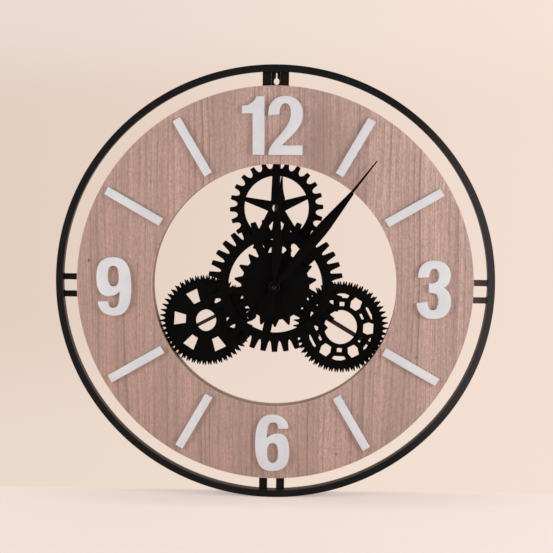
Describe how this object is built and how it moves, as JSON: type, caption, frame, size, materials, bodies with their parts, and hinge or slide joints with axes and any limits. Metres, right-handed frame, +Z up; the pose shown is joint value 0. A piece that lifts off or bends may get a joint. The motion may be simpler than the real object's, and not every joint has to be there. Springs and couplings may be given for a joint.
{
  "type": "wall clock",
  "caption": "Round open wall clock: wooden dial ring with raised white numerals inside a black steel ring, layered cut-out gears behind long hands, battery movement at the back.",
  "frame": {"origin": "middle of the overall box: on the axis of the hands, halfway between the wall and the cap nut", "axes": "+Z up, the dial faces -Y, the wall is on the +Y side; positive turns about +Y are clockwise for someone reading the clock"},
  "size_m": [0.602, 0.0346, 0.602],
  "materials": {
    "black_steel": "satin black powder coat on cut and bent steel",
    "veneer": "board, matt; the dial is faced with an open-grained pinkish grey veneer",
    "white_acrylic": "cool white acrylic, smooth",
    "movement_plastic": "black moulded plastic",
    "bright_steel": "plated steel",
    "brass": "turned brass",
    "coil_copper": "lacquered copper wire on a plastic bobbin",
    "board_green": "green circuit board",
    "battery_wrap": "plain dark wrap"
  },
  "bodies": {
    "clock_body": {"outer_ring": "black_steel", "bar_top_left": "black_steel", "bar_top_right": "black_steel", "bar_bottom_right": "black_steel", "bar_bottom_left": "black_steel", "bar_right_upper": "black_steel", "bar_right_lower": "black_steel", "bar_left_lower": "black_steel", "bar_left_upper": "black_steel", "hanger_plate": "black_steel", "top_gear": "black_steel", "right_gear": "black_steel", "left_gear": "black_steel", "right_gear_backing": "black_steel", "left_gear_backing": "black_steel", "centre_gear_large": "black_steel", "centre_gear_small": "black_steel", "strut_top": "black_steel", "strut_right": "black_steel", "strut_left": "black_steel", "hub_spacer_top": "black_steel", "hub_spacer_right": "black_steel", "hub_spacer_left": "black_steel", "washer": "black_steel", "hex_nut": "black_steel", "wood_ring": "veneer", "rear_hoop": "veneer", "hour_mark_01": "white_acrylic", "hour_mark_02": "white_acrylic", "hour_mark_04": "white_acrylic", "hour_mark_05": "white_acrylic", "hour_mark_07": "white_acrylic", "hour_mark_08": "white_acrylic", "hour_mark_10": "white_acrylic", "hour_mark_11": "white_acrylic", "numeral_12_one": "white_acrylic", "numeral_12_two": "white_acrylic", "numeral_3": "white_acrylic", "numeral_6": "white_acrylic", "numeral_9": "white_acrylic", "movement_case": "movement_plastic", "movement_cover": "movement_plastic", "wood_screw_top_left": "bright_steel", "wood_screw_top_right": "bright_steel", "wood_screw_bottom_right": "bright_steel", "wood_screw_bottom_left": "bright_steel", "battery_contact_minus": "bright_steel", "battery_contact_plus": "bright_steel", "threaded_bush": "brass", "drive_coil": "coil_copper", "circuit_board": "board_green", "battery": "battery_wrap"},
    "minute": {"minute_arbor": "bright_steel", "minute_hand": "black_steel", "cap_nut": "black_steel"},
    "hour": {"hour_tube": "brass", "hour_hand": "black_steel"},
    "setting": {"transfer_wheel": "brass", "setting_knob": "movement_plastic"}
  },
  "joints": [
    {"name": "minute_turn", "type": "hinge", "parent": "clock_body", "child": "minute", "pos_m": [0, 0, 0], "axis": [0, 1, 0], "continuous": true},
    {"name": "hour_turn", "type": "hinge", "parent": "clock_body", "child": "hour", "pos_m": [0, 0, 0], "axis": [0, 1, 0], "continuous": true},
    {"name": "setting_turn", "type": "hinge", "parent": "clock_body", "child": "setting", "pos_m": [0, 0, 0.0103], "axis": [0, 1, 0], "continuous": true}
  ],
  "couplings": [
    {"joint": "hour_turn", "follows": "minute_turn", "ratio": 0.083333},
    {"joint": "setting_turn", "follows": "minute_turn", "ratio": -0.33333}
  ]
}
